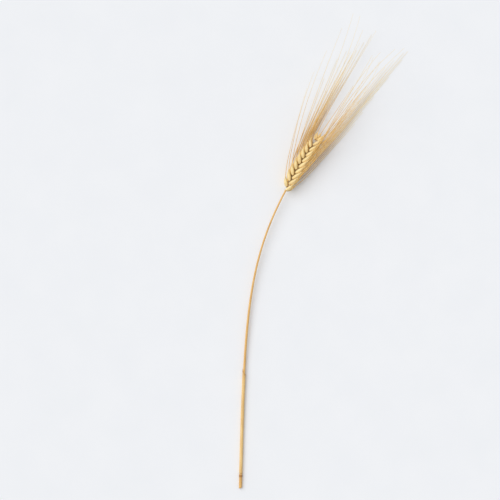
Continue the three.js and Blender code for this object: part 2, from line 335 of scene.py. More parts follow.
def tint(material, mask, colour, strength=1.0):
    """Lays a colour over what a skin has so far, as strongly as a mask says."""
    tree = material.node_tree
    base = tree.nodes["Principled BSDF"].inputs["Base Color"]
    share = place(tree, "ShaderNodeMath", {0: mask, 1: strength}, operation="MULTIPLY").outputs[0]
    inputs = {0: share, 6: base.links[0].from_socket, 7: linear(colour)}
    over = place(tree, "ShaderNodeMix", inputs, data_type="RGBA")
    tree.links.new(over.outputs[2], base)


def reach_mask(material, start, end):
    """A mask that rises from 0 to 1 between two distances along the straight piece."""
    tree = material.node_tree
    along = place(tree, "ShaderNodeSeparateXYZ", {0: tree.nodes["Grain"].outputs["Vector"]}).outputs["Y"]
    inputs = {0: along, 1: start, 2: end}
    return place(tree, "ShaderNodeMapRange", inputs, interpolation_type="SMOOTHSTEP").outputs[0]


def dry_skin(name, pale, deep, stain, fibre, blotch, relief, gloss):
    """A dried plant skin: deep and pale fibres, weathered by stains. Fibre is a width and a length, gloss
    the least and greatest roughness, and relief how far the fibres stand out."""
    material = bpy.data.materials.new(name)
    material.use_nodes = True
    tree = material.node_tree
    shader = tree.nodes["Principled BSDF"]
    grain = place(tree, "ShaderNodeAttribute", attribute_name="grain", name="Grain").outputs["Vector"]
    inputs = {"Grain": grain, "Width": fibre[0], "Length": fibre[1]}
    fibres = place(tree, "ShaderNodeGroup", inputs, node_tree=FIBRES).outputs["Fibres"]
    inputs = {"Grain": grain, "Blotch": blotch, "Speck": fibre[0] * SPECK_SHARE}
    weather = place(tree, "ShaderNodeGroup", inputs, node_tree=WEATHER).outputs
    streaks = place(tree, "ShaderNodeMix", {0: fibres, 6: linear(deep), 7: linear(pale)}, data_type="RGBA")
    tree.links.new(streaks.outputs[2], shader.inputs["Base Color"])
    tint(material, weather["Blotches"], stain, BLOTCH_STRENGTH)
    tint(material, weather["Specks"], stain, SPECK_STRENGTH)
    rough = place(tree, "ShaderNodeMapRange", {0: fibres, 3: gloss[1], 4: gloss[0]})
    tree.links.new(rough.outputs[0], shader.inputs["Roughness"])
    bump = place(tree, "ShaderNodeBump", {"Height": fibres, "Distance": relief, "Strength": BUMP_STRENGTH})
    tree.links.new(bump.outputs[0], shader.inputs["Normal"])
    return material


def straw_finish():
    skin = dry_skin(
        "straw_skin",
        STRAW_PALE,
        STRAW_DEEP,
        STRAW_STAIN,
        STRAW_FIBRE,
        STRAW_BLOTCH,
        STRAW_RELIEF,
        STRAW_GLOSS,
    )
    tree = skin.node_tree
    above = reach_mask(skin, JOINT_AT - JOINT_LENGTH / 2, JOINT_AT)
    below = reach_mask(skin, JOINT_AT + JOINT_LENGTH / 2, JOINT_AT)
    ring = place(tree, "ShaderNodeMath", {0: above, 1: below}, operation="MULTIPLY").outputs[0]
    tint(skin, ring, STRAW_STAIN, JOINT_STAIN_STRENGTH)
    tint(skin, reach_mask(skin, CUT_STAIN_REACH, 0.0), STRAW_STAIN, CUT_STAIN_STRENGTH)
    return skin


def straw_rings():
    """Rings up the straw: out of the bore, over the cut and along the ribbed skin to the collar."""
    neck = STRAW_LENGTH - COLLAR_LENGTH
    end = STRAW_LENGTH - PIECE_GAP
    half = JOINT_LENGTH / 2
    knots = [
        (0, FOOT_RADIUS),
        (JOINT_AT - half, FOOT_RADIUS),
        (JOINT_AT - half / 2, JOINT_RADIUS),
        (JOINT_AT + half / 2, JOINT_RADIUS),
        (JOINT_AT + half, SHEATHED_RADIUS),
        (SHEATH_TOP, SHEATHED_RADIUS),
        (neck, NECK_RADIUS),
        (end, COLLAR_RADIUS),
    ]
    fine = np.arange(0, JOINT_AT + JOINT_LENGTH, STRAW_FINE_STEP)
    coarse = np.arange(JOINT_AT + JOINT_LENGTH, neck, STRAW_STEP)
    crown = np.linspace(neck, end, CROWN_RINGS)
    outside = np.concatenate([fine, coarse, crown])
    inside = np.linspace(BORE_DEPTH, 0, BORE_RINGS)
    reach = np.concatenate([inside, outside])[:, None]
    radius = np.concatenate([np.full(len(inside), BORE_RADIUS), eased(knots, outside)])[:, None]
    around = angles_around(STRAW_RIBS * POINTS_PER_RIB)
    ribbed = radius * (1 + STRAW_RIB_HEIGHT * np.cos(STRAW_RIBS * around))
    slanted = reach + CUT_SLANT * (1 + np.cos(around)) * np.exp(-reach / FOOT_RADIUS)
    return ring_points(ribbed * np.cos(around), slanted, ribbed * np.sin(around))


STALK = stalk_points()
STALK_REACH = reach_along(STALK)
STRAW_LENGTH = STALK_REACH[-1] - RACHIS_LENGTH
CARRY = carry_group()
PLAIN_PIECE = plain_piece_tree()
stalk_line = line_object("stalk_line", STALK)

straw = grown(
    skin_mesh("straw_skin", straw_rings()), PLAIN_PIECE, line=stalk_line, upwards=UP, skin=straw_finish()
)
finished_piece("hollow_straw", straw, "straw")

# The leaf sheath
# The papery lower part of a leaf, which wraps the straw above its joint with one margin over the other.
# The blade broke off when the leaf dried, so the top is torn. Fine veins run along it.
SHEATH_BOTTOM = JOINT_AT + JOINT_LENGTH / 2 + PIECE_GAP
SHEATH_RADIUS = 1.72 * MM
SHEATH_SPIRAL = 0.2 * MM
SHEATH_WALL = 0.12 * MM
SHEATH_OVERLAP = math.radians(55)
SHEATH_VEINS = 22
POINTS_PER_VEIN = 6
VEIN_HEIGHT = 0.03 * MM
SHEATH_STEP = 2 * MM
TEAR_WAVES = ((3.2 * MM, 1.3, 0.8), (1.1 * MM, 5.0, 2.0), (0.6 * MM, 13.0, 4.1))
TEAR_DEPTH = 5 * MM
SHEATH_FLARE = 0.15 * MM
FLARE_POWER = 40
SHEATH_PALE = (248, 217, 154)
SHEATH_DEEP = (229, 181, 106)
SHEATH_STAIN = (176, 120, 62)
SHEATH_FIBRE = (0.22 * MM, 20 * MM)
SHEATH_BLOTCH = 4 * MM
SHEATH_RELIEF = 0.03 * MM
SHEATH_GLOSS = (0.42, 0.6)
TORN_STAIN_REACH = 14 * MM
TORN_STAIN_STRENGTH = 0.5


def sheath_rings():
    """Rings of a rolled sheet: round the outside from the tucked margin to the free one and back inside."""
    width = np.linspace(0, 1, SHEATH_VEINS * POINTS_PER_VEIN)
    veins = VEIN_HEIGHT * np.cos(2 * math.pi * SHEATH_VEINS * width)
    spiral = SHEATH_RADIUS + SHEATH_SPIRAL * width
    radius = np.concatenate([spiral + SHEATH_WALL / 2 + veins, (spiral - SHEATH_WALL / 2)[::-1]])
    turn = np.concatenate([width, width[::-1]])
    around = turn * (2 * math.pi + SHEATH_OVERLAP)
    waves = [high * np.sin(2 * math.pi * often * turn + start) for high, often, start in TEAR_WAVES]
    tear = TEAR_DEPTH + sum(waves)
    rows = int((SHEATH_TOP - SHEATH_BOTTOM) / SHEATH_STEP)
    share = np.linspace(0, 1, rows)[:, None]
    reach = SHEATH_BOTTOM + share * (SHEATH_TOP - tear - SHEATH_BOTTOM)
    flared = radius + SHEATH_FLARE * share**FLARE_POWER
    return ring_points(flared * np.cos(around), reach, flared * np.sin(around))


def sheath_finish():
    skin = dry_skin(
        "sheath_skin",
        SHEATH_PALE,
        SHEATH_DEEP,
        SHEATH_STAIN,
        SHEATH_FIBRE,
        SHEATH_BLOTCH,
        SHEATH_RELIEF,
        SHEATH_GLOSS,
    )
    torn = reach_mask(skin, SHEATH_TOP - TORN_STAIN_REACH, SHEATH_TOP)
    tint(skin, torn, SHEATH_STAIN, TORN_STAIN_STRENGTH)
    return skin


sheath = grown(
    skin_mesh("sheath_skin", sheath_rings(), sheet=True),
    PLAIN_PIECE,
    line=stalk_line,
    upwards=UP,
    skin=sheath_finish(),
)
finished_piece("wrapped_sheath", sheath, "leaf_sheath")

# The rachis
# The ear's own flat axis, which zigzags from spikelet to spikelet and grew on from the straw.
# It is broad below each spikelet and waisted above it, with a fringe of short hairs on both margins.
SPIKELETS = 18
TERMINAL_RISE = 2.8 * MM
INTERNODE = (RACHIS_LENGTH - TERMINAL_RISE) / (SPIKELETS - 1)
EAR_ROLL = math.radians(18)
RACHIS_HALF_WIDTH = 0.72 * MM
RACHIS_HALF_THICKNESS = 0.48 * MM
RACHIS_WAIST = 0.75
RACHIS_TAPER = 0.55
RACHIS_ZIGZAG = 0.25 * MM
RACHIS_SIDES = 24
RINGS_PER_INTERNODE = 8
FRINGE_PER_AREA = 9 / MM**2
FRINGE_LENGTH = 0.7 * MM
FRINGE_WIDTH = 0.02 * MM
FRINGE_LEAN = 1.5
FRINGE_SEED = 4
BRISTLE_SIDES = 3
BRISTLE_SIZES = (0.6, 1.2)
MARGIN_FACING = 0.8
RACHIS_PALE = (246, 220, 164)
RACHIS_DEEP = (222, 180, 112)
RACHIS_STAIN = (140, 92, 46)
RACHIS_FIBRE = (0.12 * MM, 4 * MM)
RACHIS_BLOTCH = 1.5 * MM
RACHIS_RELIEF = 0.03 * MM
RACHIS_GLOSS = (0.45, 0.65)


def stalk_place(distance):
    return np.array([np.interp(distance, STALK_REACH, axis) for axis in STALK.T])


def ear_frame(distance):
    """The stalk's place and heading at a distance, the way out to the right column and the way across."""
    along = unit(stalk_place(distance + MM) - stalk_place(distance - MM))
    side = unit(np.cross(along, UP))
    out = side * math.cos(EAR_ROLL) + np.cross(side, along) * math.sin(EAR_ROLL)
    return stalk_place(distance), along, out, np.cross(out, along)


def rachis_rings():
    rows = (SPIKELETS - 1) * RINGS_PER_INTERNODE + 1
    step = np.linspace(0, RACHIS_LENGTH / INTERNODE, rows)[:, None]
    width = 1 + (RACHIS_TAPER - 1) * step / step[-1]
    width = width * (1 - (1 - RACHIS_WAIST) * (0.5 + 0.5 * np.cos(2 * math.pi * step)))
    around = angles_around(RACHIS_SIDES)
    across = -RACHIS_ZIGZAG * np.cos(math.pi * step) + RACHIS_HALF_THICKNESS * width * np.cos(around)
    reach = STRAW_LENGTH + INTERNODE * step
    return ring_points(across, reach, RACHIS_HALF_WIDTH * width * np.sin(around))


def bristle_group():
    """Short stiff bristles scattered on a straight skin, leaning forwards as they stand out of it."""
    inputs = {
        "Geometry": "Geometry",
        "Selection": "Bool",
        "Density": "Float",
        "Length": "Float",
        "Width": "Float",
        "Lean": "Float",
        "Seed": "Int",
    }
    tree, given, made = new_tree("bristles_on_skin", "GeometryNodeTree", inputs, {"Geometry": "Geometry"})
    inputs = {label: given[label] for label in ("Selection", "Density", "Seed")}
    inputs["Mesh"] = given["Geometry"]
    roots = place(tree, "GeometryNodeDistributePointsOnFaces", inputs).outputs
    forwards = place(tree, "ShaderNodeCombineXYZ", {"Y": given["Lean"]}).outputs[0]
    pointing = vector_math(tree, "ADD", roots["Normal"], forwards)
    turned = place(tree, "FunctionNodeAlignRotationToVector", {"Vector": pointing}, axis="Z").outputs[0]
    bristle = place(
        tree,
        "GeometryNodeMeshCone",
        {
            "Vertices": BRISTLE_SIDES,
            "Radius Top": 0.0,
            "Radius Bottom": given["Width"],
            "Depth": given["Length"],
        },
    )
    least, most = BRISTLE_SIZES
    size = place(tree, "FunctionNodeRandomValue", {2: least, 3: most, "Seed": given["Seed"]}).outputs[1]
    inputs = {"Points": roots["Points"], "Rotation": turned, "Scale": size}
    inputs["Instance"] = bristle.outputs["Mesh"]
    planted = place(tree, "GeometryNodeInstanceOnPoints", inputs)
    whole = place(tree, "GeometryNodeRealizeInstances", {0: planted.outputs[0]})
    tree.links.new(whole.outputs[0], made["Geometry"])
    return tree


def join(tree, *parts):
    joint = tree.nodes.new("GeometryNodeJoinGeometry")
    for part in reversed(parts):
        tree.links.new(part, joint.inputs[0])
    return joint.outputs[0]


def fringed_piece_tree():
    """A flat straight skin with bristles along its two margins, carried onto its line."""
    inputs = {
        **CARRY_INPUTS,
        "Skin": "Material",
        "Hair density": "Float",
        "Hair length": "Float",
        "Hair width": "Float",
        "Seed": "Int",
    }
    tree, given, made = new_tree("fringed_piece", "GeometryNodeTree", inputs, {"Geometry": "Geometry"})
    normal = place(tree, "GeometryNodeInputNormal").outputs[0]
    facing = place(tree, "ShaderNodeSeparateXYZ", {0: normal}).outputs["Z"]
    edgeways = place(tree, "ShaderNodeMath", {0: facing}, operation="ABSOLUTE").outputs[0]
    margin = place(tree, "FunctionNodeCompare", {0: edgeways, 1: MARGIN_FACING}, operation="GREATER_THAN")
    inputs = {
        "Geometry": given["Geometry"],
        "Selection": margin.outputs[0],
        "Density": given["Hair density"],
        "Length": given["Hair length"],
        "Width": given["Hair width"],
        "Lean": FRINGE_LEAN,
        "Seed": given["Seed"],
    }
    hairs = place(tree, "GeometryNodeGroup", inputs, node_tree=BRISTLES).outputs[0]
    whole = place(tree, "GeometryNodeRealizeInstances", {0: join(tree, given["Geometry"], hairs)})
    carried = carry(tree, whole.outputs[0], given)
    finished = place(tree, "GeometryNodeSetMaterial", {0: carried, "Material": given["Skin"]})
    tree.links.new(finished.outputs[0], made["Geometry"])
    return tree


BRISTLES = bristle_group()

rachis = grown(
    skin_mesh("rachis_skin", rachis_rings()),
    fringed_piece_tree(),
    line=stalk_line,
    upwards=ear_frame(STRAW_LENGTH + RACHIS_LENGTH / 2)[3],
    hair_density=FRINGE_PER_AREA,
    hair_length=FRINGE_LENGTH,
    hair_width=FRINGE_WIDTH,
    seed=FRINGE_SEED,
    skin=dry_skin(
        "rachis_skin",
        RACHIS_PALE,
        RACHIS_DEEP,
        RACHIS_STAIN,
        RACHIS_FIBRE,
        RACHIS_BLOTCH,
        RACHIS_RELIEF,
        RACHIS_GLOSS,
    ),
)
finished_piece("zigzag_rachis", rachis, "rachis")

# The florets
# Two or three to a spikelet on a short inner stalk. Each is a plump husk: a nerved outer scale, the lemma,
# folded round a thinner two-keeled inner one, and the lemma's middle nerve runs on as a long barbed awn.
LOWEST_SIZE = 0.82
HIGHEST_SIZE = 0.78
SIZE_STRAY = 0.03
FULL_SIZE_FROM = 3
SHRINKS_FROM = 0.5
FLORET_LENGTH = 12.5 * MM
FLORET_HALF_WIDTH = 2.15 * MM
FLORET_HALF_THICKNESS = 2.05 * MM
HUSK_FOOT = 0.48
HUSK_TIP = 0.2
HUSK_SWELL = 0.7
HUSK_FULLNESS = 0.74
HUSK_ROUNDING = 0.06
HUSK_FOOT_OPENING = 0.004
HUSK_SIDES = 80
HUSK_ROWS = 26
LEMMA_MARGIN = 2.25
MARGIN_STEP = 0.09
LEMMA_NERVES = ((0.0, 0.05), (-0.62, 0.03), (0.62, 0.03), (-1.24, 0.03), (1.24, 0.03))
NERVE_WIDTH = 0.1
PALEA_KEEL = 2.75
PALEA_KEEL_HEIGHT = 0.05
PALEA_GROOVE = 0.06
PALEA_GROOVE_WIDTH = 2 * NERVE_WIDTH
SIDE_BACK = math.radians(25)
MIDDLE_BACK = math.radians(90)
THIRD_FLORET_RISE = 3 * MM
THIRD_FLORET_SIZE = 0.85
FIRST_WITH_THIRD_FLORET = 2
AWN_LENGTH = 150 * MM
AWN_SHORTEST = 0.55
AWN_LENGTH_CURVE = (0.12, 0.78)
AWN_LENGTH_STRAY = 0.12
AWN_FOOT_RADIUS = 0.36 * MM
AWN_TIP_RADIUS = 0.1 * MM
AWN_SIDES = 6
AWN_RINGS = 64
AWN_SUNK = 0.12
AWN_OUT_SLOPES = (0.2, 0.05)
AWN_SIDE_SLOPES = (0.18, 0.07)
AWN_OUT_STRAY = 0.12
AWN_SIDE_STRAY = 0.06
THIRD_AWN_SPREAD = 0.8
THIRD_AWN_LENGTH = 0.6
BEND_START = 50 * MM
UPPER_AWN_BEND = 0.2
LOWER_AWN_BEND = 0.02
AWN_CLEARANCE = 0.23 * MM
AWN_REST_BLEND = 1.5 * MM
BASE_OUT = 0.55 * MM
BASE_SIDE = 1.4 * MM
BASE_OUT_SLOPE = 0.84
BASE_SIDE_SLOPE = 0.46
EASE_LENGTH = 11 * MM
BARBS_PER_AREA = 0.6 / MM**2
BARB_LENGTH = 0.4 * MM
BARB_WIDTH = 0.07 * MM
BARB_LEAN = 2.5
RACHILLA_KNOTS = ((0.4, 1.0), (3.0, 1.25), (5.0, 0.6))
RACHILLA_SIDES = 16
RACHILLA_ROWS = 10
HUSK_PALE = (254, 228, 164)
HUSK_DEEP = (244, 200, 120)
# The brown of the weather stains on husks and awns, also used for the painted shade at each husk's foot.
HUSK_STAIN_AND_FOOT_SHADE = (136, 82, 32)
HUSK_FIBRE = (0.14 * MM, 5 * MM)
HUSK_BLOTCH = 1.8 * MM
HUSK_RELIEF = 0.025 * MM
HUSK_GLOSS = (0.4, 0.6)
# Painted shade at each husk's foot, where it sits down between the spikelets: how far up it reaches and how
# dark it is.
HUSK_FOOT_SHADE_REACH = (2 * MM, 0.5 * MM)
HUSK_FOOT_SHADE_STRENGTH = 0.6
AWN_PALE = (244, 204, 124)
AWN_DEEP = (222, 166, 78)
AWN_TIP = (248, 224, 168)
AWN_FIBRE = (0.2 * MM, 9 * MM)
AWN_BLOTCH = 3 * MM
AWN_RELIEF = 0.02 * MM
AWN_GLOSS = (0.35, 0.5)
SPIKELET_TURN = 12.9898
TRAIT_TURN = 78.233
SIZE_TRAIT = 1
BOW_OUT_TRAIT = 2
BOW_SIDE_TRAIT = 5
LEFT_AWN_TRAIT = 8
RIGHT_AWN_TRAIT = 9
THIRD_AWN_TRAIT = 10
AWN_OUT_TRAIT = 11
AWN_SIDE_TRAIT = 12


def vary(k, trait):
    """A repeatable natural variation from -1 to 1, for one trait of one spikelet.
    A trait that each floret has on its own is numbered from the side the floret is on."""
    return math.sin(SPIKELET_TURN * k + TRAIT_TURN * trait)


def between(start, end, share):
    return start + (end - start) * share


def smoothstep(share):
    share = np.clip(share, 0, 1)
    return share * share * (3 - 2 * share)


def spikelet_traits(k):
    """The size of a spikelet and the fan of its awns, from the small lowest one to the tip of the ear."""
    share = k / (SPIKELETS - 1)
    swelling = between(LOWEST_SIZE, 1, min(1, k / FULL_SIZE_FROM))
    shrinking = between(1, HIGHEST_SIZE, smoothstep((share - SHRINKS_FROM) / (1 - SHRINKS_FROM)))
    reach = math.sin(math.pi * between(*AWN_LENGTH_CURVE, share))
    return {
        "size": swelling * shrinking * (1 + SIZE_STRAY * vary(k, SIZE_TRAIT)),
        "awn_out": between(*AWN_OUT_SLOPES, share),
        "awn_side": between(*AWN_SIDE_SLOPES, share),
        "awn_length": AWN_LENGTH * between(AWN_SHORTEST, 1, reach),
    }


def floret_points(k, side, traits, heights):
    """Points of a floret's line at heights above its spikelet, and the way out from the rachis.
    The line leaves the rachis outwards, eases into the awn and is lifted over the table.
    Side is -1 or 1 for the side florets and 0 for the middle."""
    terminal = k == SPIKELETS - 1
    column = 1 if k % 2 == 0 else -1
    start, along, out, over = ear_frame(STRAW_LENGTH + k * INTERNODE + (TERMINAL_RISE if terminal else 0))
    out = over if terminal else out * column
    over = np.cross(out, along)
    upper = side * column > 0
    bend = UPPER_AWN_BEND if upper else LOWER_AWN_BEND
    ease = EASE_LENGTH * (1 - np.exp(-heights / EASE_LENGTH))
    bow = bend * np.maximum(0, heights - BEND_START) ** 2 / AWN_LENGTH
    outwards = vary(k, BOW_OUT_TRAIT + side) * bow
    if not terminal:
        spread = THIRD_AWN_SPREAD if side == 0 else 1
        awn_out = traits["awn_out"] * spread + upper * AWN_OUT_STRAY * vary(k, AWN_OUT_TRAIT)
        outwards = outwards + BASE_OUT + awn_out * heights + (BASE_OUT_SLOPE - awn_out) * ease
    awn_side = traits["awn_side"] + upper * AWN_SIDE_STRAY * vary(k, AWN_SIDE_TRAIT)
    sideways = BASE_SIDE * traits["size"] + awn_side * heights + (BASE_SIDE_SLOPE - awn_side) * ease
    sideways = side * (sideways + vary(k, BOW_SIDE_TRAIT + side) * bow)
    points = start + np.outer(heights, along) + np.outer(outwards, out) + np.outer(sideways, over)
    depth = points[:, 2] - AWN_CLEARANCE
    points[:, 2] = AWN_CLEARANCE + (depth + np.hypot(depth, AWN_REST_BLEND)) / 2
    return points, out


def husk_share(share):
    """The husk's outline as shares of its half width, from its foot to its tip."""
    return between(HUSK_FOOT, HUSK_TIP, share) + HUSK_SWELL * np.sin(math.pi * share**HUSK_FULLNESS)


def husk_rings(length, size, back):
    """Rings of a husk with its lemma towards the angle back: nerves, overlapping margins and keels."""
    share = np.linspace(0, 1, HUSK_ROWS)[:, None]
    around = angles_around(HUSK_SIDES)
    turn = (around - back + math.pi) % (2 * math.pi) - math.pi
    apart = np.abs(turn)
    lemma = 1 - smoothstep((apart - LEMMA_MARGIN) / NERVE_WIDTH)
    nerves = sum(high * np.exp(-(((turn - at) / NERVE_WIDTH) ** 2)) for at, high in LEMMA_NERVES)
    keels = PALEA_KEEL_HEIGHT * np.exp(-(((apart - PALEA_KEEL) / NERVE_WIDTH) ** 2))
    groove = PALEA_GROOVE * np.exp(-(((math.pi - apart) / PALEA_GROOVE_WIDTH) ** 2))
    relief = 1 - MARGIN_STEP * (1 - lemma) + nerves + keels - groove
    rounded = np.minimum(1, (share + HUSK_FOOT_OPENING) / HUSK_ROUNDING)
    rounding = np.sqrt(1 - (1 - rounded) ** 2)
    radius = size * husk_share(share) * rounding * relief
    across = FLORET_HALF_WIDTH * radius * np.cos(around)
    upward = FLORET_HALF_THICKNESS * radius * np.sin(around)
    return ring_points(across, length * share, upward)


def rachilla_rings(size):
    reach = np.linspace(RACHILLA_KNOTS[0][0], RACHILLA_KNOTS[-1][0], RACHILLA_ROWS)
    radius = size * MM * eased(RACHILLA_KNOTS, reach)[:, None]
    around = angles_around(RACHILLA_SIDES)
    return ring_points(radius * np.cos(around), size * MM * reach[:, None], radius * np.sin(around))


def bearded_husk_tree():
    """A husk and its awn, tapered and set with barbs, carried together onto the floret's line."""
    inputs = {
        **CARRY_INPUTS,
        "Husk skin": "Material",
        "Awn skin": "Material",
        "Awn start": "Float",
        "Awn end": "Float",
        "Foot radius": "Float",
        "Tip radius": "Float",
        "Barb density": "Float",
        "Barb length": "Float",
        "Barb width": "Float",
        "Seed": "Int",
    }
    tree, given, made = new_tree("bearded_husk", "GeometryNodeTree", inputs, {"Geometry": "Geometry"})
    start = place(tree, "ShaderNodeCombineXYZ", {"Y": given["Awn start"]}).outputs[0]
    end = place(tree, "ShaderNodeCombineXYZ", {"Y": given["Awn end"]}).outputs[0]
    line = place(tree, "GeometryNodeCurvePrimitiveLine", {"Start": start, "End": end})
    ringed = place(tree, "GeometryNodeResampleCurve", {"Curve": line.outputs[0], "Count": AWN_RINGS})
    share = place(tree, "GeometryNodeSplineParameter").outputs["Factor"]
    taper = place(tree, "ShaderNodeMapRange", {0: share, 3: given["Foot radius"], 4: given["Tip radius"]})
    outline = place(tree, "GeometryNodeCurvePrimitiveCircle", {"Resolution": AWN_SIDES, "Radius": 1.0})
    awn = place(
        tree,
        "GeometryNodeCurveToMesh",
        {
            "Curve": ringed.outputs[0],
            "Profile Curve": outline.outputs[0],
            "Scale": taper.outputs[0],
            "Fill Caps": True,
        },
    ).outputs[0]
    inputs = {
        "Geometry": awn,
        "Selection": True,
        "Density": given["Barb density"],
        "Length": given["Barb length"],
        "Width": given["Barb width"],
        "Lean": BARB_LEAN,
        "Seed": given["Seed"],
    }
    barbs = place(tree, "GeometryNodeGroup", inputs, node_tree=BRISTLES).outputs[0]
    husk = place(tree, "GeometryNodeSetMaterial", {0: given["Geometry"], "Material": given["Husk skin"]})
    inputs = {0: join(tree, awn, barbs), "Material": given["Awn skin"]}
    barbed_awn = place(tree, "GeometryNodeSetMaterial", inputs)
    whole = join(tree, husk.outputs[0], barbed_awn.outputs[0])
    whole = place(tree, "GeometryNodeRealizeInstances", {0: whole}).outputs[0]
    tree.links.new(carry(tree, whole, given), made["Geometry"])
    return tree


def husk_finish():
    skin = dry_skin(
        "husk_skin",
        HUSK_PALE,
        HUSK_DEEP,
        HUSK_STAIN_AND_FOOT_SHADE,
        HUSK_FIBRE,
        HUSK_BLOTCH,
        HUSK_RELIEF,
        HUSK_GLOSS,
    )
    # Painted shade: the husk is darkened towards its foot, where shade falls in the crevice between the
    # spikelets.
    tint(skin, reach_mask(skin, *HUSK_FOOT_SHADE_REACH), HUSK_STAIN_AND_FOOT_SHADE, HUSK_FOOT_SHADE_STRENGTH)
    return skin


def awn_finish():
    skin = dry_skin(
        "awn_skin",
        AWN_PALE,
        AWN_DEEP,
        HUSK_STAIN_AND_FOOT_SHADE,
        AWN_FIBRE,
        AWN_BLOTCH,
        AWN_RELIEF,
        AWN_GLOSS,
    )
    tint(skin, reach_mask(skin, FLORET_LENGTH, AWN_LENGTH), AWN_TIP)
    return skin


def joined(name, meshes):
    """One mesh from several that wear the same finishes in the same order."""
    together = bmesh.new()
    for mesh in meshes:
        together.from_mesh(mesh)
    whole = bpy.data.meshes.new(name)
    together.to_mesh(whole)
    together.free()
    for material in meshes[0].materials:
        whole.materials.append(material)
    return whole


class Floret:
    """One floret's line, and how far along it the husk ends and the awn ends."""

    def __init__(self, k, side, traits, awn_trait, size=1.0, awn=1.0, rise=0.0):
        self.size = size * traits["size"]
        length = FLORET_LENGTH * self.size
        awn_length = awn * traits["awn_length"] * (1 + AWN_LENGTH_STRAY * vary(k, awn_trait))
        heights = np.linspace(0, length + awn_length, LINE_POINTS)
        points, self.out = floret_points(k, side, traits, heights + rise)
        reach = reach_along(points)
        self.husk_end = float(np.interp(length, heights, reach))
        self.awn_end = float(reach[-1])
        self.line = line_object("floret_line", points)


HUSK_SKIN = husk_finish()
AWN_SKIN = awn_finish()
BEARDED_HUSK = bearded_husk_tree()


def bearded_husk(floret, back, number):
    return grown(
        skin_mesh("husk", husk_rings(floret.husk_end, floret.size, back)),
        BEARDED_HUSK,
        line=floret.line,
        upwards=floret.out,
        number=float(number),
        husk_skin=HUSK_SKIN,
        awn_skin=AWN_SKIN,
        awn_start=floret.husk_end * (1 - AWN_SUNK),
        awn_end=floret.awn_end,
        foot_radius=AWN_FOOT_RADIUS,
        tip_radius=AWN_TIP_RADIUS,
        barb_density=BARBS_PER_AREA,
        barb_length=BARB_LENGTH,
        barb_width=BARB_WIDTH,
        seed=number,
    )


# The glumes
# A pair of stiff, boat-shaped scales that clasp a spikelet's side florets, grown on at its foot.
# Each has a raised keel that ends in a short beak, fine nerves on both flanks and thin margins.
GLUME_FROM = 0.01
GLUME_TO = 0.86
GLUME_WALL = 0.14 * MM
GLUME_AWAY = 0.3 * MM
GLUME_MARGIN_AWAY = 0.14 * MM
GLUME_TIP_AWAY = 0.25 * MM
GLUME_TIP_CURVE = 3
GLUME_ARC = (math.radians(-75), math.radians(80))
GLUME_FOOT_WIDTH = 0.8
GLUME_WIDENS_TO = 0.3
GLUME_TIP_WIDTH = 0.03
GLUME_TAPER = 2.6
GLUME_ACROSS = 40
GLUME_ROWS = 30
KEEL_AT = 0.1
KEEL_HEIGHT = 0.32 * MM
KEEL_WIDTH = 0.11
KEEL_FOOT = 0.35
GLUME_NERVES = (-0.78, -0.52, -0.26, 0.4, 0.64, 0.86)
GLUME_NERVE_HEIGHT = 0.06 * MM
GLUME_NERVE_WIDTH = 0.06
GLUME_NERVE_FADE = 4
GLUME_PALE = (255, 236, 180)
GLUME_DEEP = (248, 212, 138)
# The brown of the glumes' weather stains, also used for the painted shade at each glume's foot.
GLUME_STAIN_AND_FOOT_SHADE = (140, 86, 36)
GLUME_FIBRE = (0.16 * MM, 6 * MM)
GLUME_BLOTCH = 2 * MM
GLUME_RELIEF = 0.03 * MM
GLUME_GLOSS = (0.4, 0.58)
# Painted shade at each glume's foot, where it sits down between the spikelets: how far up it reaches and
# how dark it is.
GLUME_FOOT_SHADE_REACH = 1.2 * MM
GLUME_FOOT_SHADE_STRENGTH = 0.5


def glume_rings(length, size, side):
    """Rings of a glume: across its outer face from margin to margin, and back along its inner face."""
    across = np.linspace(-1, 1, GLUME_ACROSS)
    across = np.concatenate([across, across[::-1]])
    outer = np.arange(len(across)) < GLUME_ACROSS
    swing = -side * across
    share = np.linspace(0, 1, GLUME_ROWS)[:, None]
    widening = between(GLUME_FOOT_WIDTH, 1, smoothstep(share / GLUME_WIDENS_TO))
    narrow = widening * between(1, GLUME_TIP_WIDTH, share**GLUME_TAPER)
    angle = between(*GLUME_ARC, 0.5 + 0.5 * swing * narrow)
    around = angle if side < 0 else math.pi - angle
    nerves = sum(np.exp(-(((swing - at) / GLUME_NERVE_WIDTH) ** 2)) for at in GLUME_NERVES)
    keel = np.exp(-(((swing - KEEL_AT) / KEEL_WIDTH) ** 2)) * between(KEEL_FOOT, 1, share)
    veined = GLUME_NERVE_HEIGHT * nerves * (1 - share**GLUME_NERVE_FADE)
    relief = (veined + KEEL_HEIGHT * keel + GLUME_WALL) * outer
    lifted = GLUME_TIP_AWAY * share**GLUME_TIP_CURVE
    away = between(GLUME_AWAY, GLUME_MARGIN_AWAY, across**2) + lifted + relief
    height = between(GLUME_FROM, GLUME_TO, share)
    width = FLORET_HALF_WIDTH * size * husk_share(height) + away
    thickness = FLORET_HALF_THICKNESS * size * husk_share(height) + away
    return ring_points(width * np.cos(around), length * height, thickness * np.sin(around))


def glume_finish():
    skin = dry_skin(
        "glume_skin",
        GLUME_PALE,
        GLUME_DEEP,
        GLUME_STAIN_AND_FOOT_SHADE,
        GLUME_FIBRE,
        GLUME_BLOTCH,
        GLUME_RELIEF,
        GLUME_GLOSS,
    )
    # Painted shade: the glume is darkened towards its foot, where shade falls in the crevice between the
    # spikelets.
    tint(skin, reach_mask(skin, GLUME_FOOT_SHADE_REACH, 0.0), GLUME_STAIN_AND_FOOT_SHADE, GLUME_FOOT_SHADE_STRENGTH)
    return skin


GLUME_SKIN = glume_finish()


